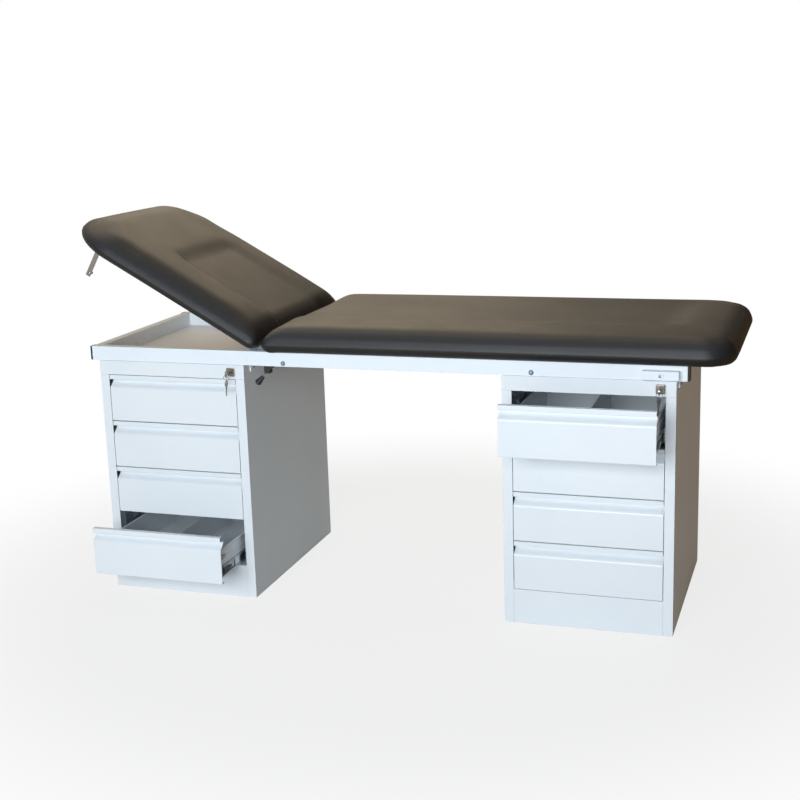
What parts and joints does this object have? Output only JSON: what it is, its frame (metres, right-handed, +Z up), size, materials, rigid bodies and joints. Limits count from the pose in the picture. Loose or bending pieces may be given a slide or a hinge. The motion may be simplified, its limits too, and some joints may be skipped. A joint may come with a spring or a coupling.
{
  "type": "examination couch with cabinets",
  "caption": "Padded examination couch with a raising head section on a steel tube frame, carried by two white drawer cabinets with finger-pull drawers, locks and a tray under the head section",
  "frame": {"origin": "on the floor under the middle of the couch's box, with the head section and two drawers as pictured", "axes": "+X from the head end to the foot end, +Y from the drawer fronts to the back, +Z up"},
  "size_m": [1.8494, 0.79, 1.0814],
  "materials": {
    "white_coat": "satin",
    "rail_coat": "satin",
    "leatherette": "satin",
    "plywood": "matte",
    "zinc": "satin",
    "nickel": "gloss",
    "polished_steel": "gloss",
    "black_paint": "satin",
    "black_plastic": "satin"
  },
  "bodies": {
    "root": {"head_cabinet_shell": "white_coat", "head_cabinet_plinth": "white_coat", "head_cabinet_cap": "white_coat", "head_cabinet_lock_case": "nickel", "head_cabinet_left_runners": "zinc", "head_cabinet_right_runners": "zinc", "foot_cabinet_shell": "white_coat", "foot_cabinet_plinth": "white_coat", "foot_cabinet_cap": "white_coat", "foot_cabinet_lock_case": "nickel", "foot_cabinet_left_runners": "zinc", "foot_cabinet_right_runners": "zinc", "front_rail": "rail_coat", "back_rail": "rail_coat", "head_end_rail": "rail_coat", "foot_end_rail": "rail_coat", "head_front_cap": "black_plastic", "head_back_cap": "black_plastic", "foot_front_cap": "black_plastic", "foot_back_cap": "black_plastic", "head_cabinet_bar": "rail_coat", "foot_cabinet_bar": "rail_coat", "hinge_bar": "rail_coat", "spring_bar": "rail_coat", "foot_bar": "rail_coat", "head_rail_screw": "zinc", "foot_rail_screw": "zinc", "accessory_block": "rail_coat", "front_hinge_ear": "zinc", "back_hinge_ear": "zinc", "gas_cylinder": "black_paint", "lever_bracket": "black_plastic", "main_pad": "leatherette", "main_board": "plywood"},
    "head_cabinet_key_plug": {"head_cabinet_key": "nickel"},
    "head_cabinet_drawer_1": {"head_cabinet_drawer_1_front": "white_coat", "head_cabinet_drawer_1_box": "white_coat"},
    "head_cabinet_drawer_2": {"head_cabinet_drawer_2_front": "white_coat", "head_cabinet_drawer_2_box": "white_coat"},
    "head_cabinet_drawer_3": {"head_cabinet_drawer_3_front": "white_coat", "head_cabinet_drawer_3_box": "white_coat"},
    "head_cabinet_drawer_4": {"head_cabinet_drawer_4_front": "white_coat", "head_cabinet_drawer_4_box": "white_coat"},
    "foot_cabinet_key_plug": {"foot_cabinet_key": "nickel"},
    "foot_cabinet_drawer_1": {"foot_cabinet_drawer_1_front": "white_coat", "foot_cabinet_drawer_1_box": "white_coat"},
    "foot_cabinet_drawer_2": {"foot_cabinet_drawer_2_front": "white_coat", "foot_cabinet_drawer_2_box": "white_coat"},
    "foot_cabinet_drawer_3": {"foot_cabinet_drawer_3_front": "white_coat", "foot_cabinet_drawer_3_box": "white_coat"},
    "foot_cabinet_drawer_4": {"foot_cabinet_drawer_4_front": "white_coat", "foot_cabinet_drawer_4_box": "white_coat"},
    "head_section": {"head_pad": "leatherette", "head_board": "plywood", "head_frame": "zinc", "front_roll_arm": "polished_steel", "back_roll_arm": "polished_steel"},
    "spring_rod": {"gas_rod": "polished_steel"},
    "lever": {"release_lever": "polished_steel", "lever_knob": "black_plastic"}
  },
  "joints": [
    {"name": "head_cabinet_key_turn", "type": "hinge", "parent": "root", "child": "head_cabinet_key_plug", "pos_m": [-0.44633, -0.23701, 0.663], "axis": [0, 1, 0], "range_deg": [0, 90]},
    {"name": "head_cabinet_drawer_1_slide", "type": "slide", "parent": "root", "child": "head_cabinet_drawer_1", "axis": [0, -1, 0], "range_m": [0, 0.36]},
    {"name": "head_cabinet_drawer_2_slide", "type": "slide", "parent": "root", "child": "head_cabinet_drawer_2", "axis": [0, -1, 0], "range_m": [0, 0.36]},
    {"name": "head_cabinet_drawer_3_slide", "type": "slide", "parent": "root", "child": "head_cabinet_drawer_3", "axis": [0, -1, 0], "range_m": [0, 0.36]},
    {"name": "head_cabinet_drawer_4_slide", "type": "slide", "parent": "root", "child": "head_cabinet_drawer_4", "axis": [0, -1, 0], "range_m": [-0.158, 0.202]},
    {"name": "foot_cabinet_key_turn", "type": "hinge", "parent": "root", "child": "foot_cabinet_key_plug", "pos_m": [0.73767, -0.23701, 0.663], "axis": [0, 1, 0], "range_deg": [0, 90]},
    {"name": "foot_cabinet_drawer_1_slide", "type": "slide", "parent": "root", "child": "foot_cabinet_drawer_1", "axis": [0, -1, 0], "range_m": [-0.158, 0.202]},
    {"name": "foot_cabinet_drawer_2_slide", "type": "slide", "parent": "root", "child": "foot_cabinet_drawer_2", "axis": [0, -1, 0], "range_m": [0, 0.36]},
    {"name": "foot_cabinet_drawer_3_slide", "type": "slide", "parent": "root", "child": "foot_cabinet_drawer_3", "axis": [0, -1, 0], "range_m": [0, 0.36]},
    {"name": "foot_cabinet_drawer_4_slide", "type": "slide", "parent": "root", "child": "foot_cabinet_drawer_4", "axis": [0, -1, 0], "range_m": [0, 0.36]},
    {"name": "head_tilt", "type": "hinge", "parent": "root", "child": "head_section", "pos_m": [-0.36533, 0.06299, 0.7236], "axis": [0, 1, 0], "range_deg": [-29.6, 30.4]},
    {"name": "spring_stroke", "type": "slide", "parent": "root", "child": "spring_rod", "axis": [-1, 0, 0], "range_m": [-0.03, 0.03]},
    {"name": "lever_squeeze", "type": "hinge", "parent": "root", "child": "lever", "pos_m": [-0.33933, -0.22151, 0.6683], "axis": [0, 1, 0], "range_deg": [0, 15], "stiffness_Nm_per_rad": 0.4}
  ],
  "couplings": [
    {"joint": "spring_stroke", "follows": "head_tilt", "m_per_rad": 0.0546}
  ]
}
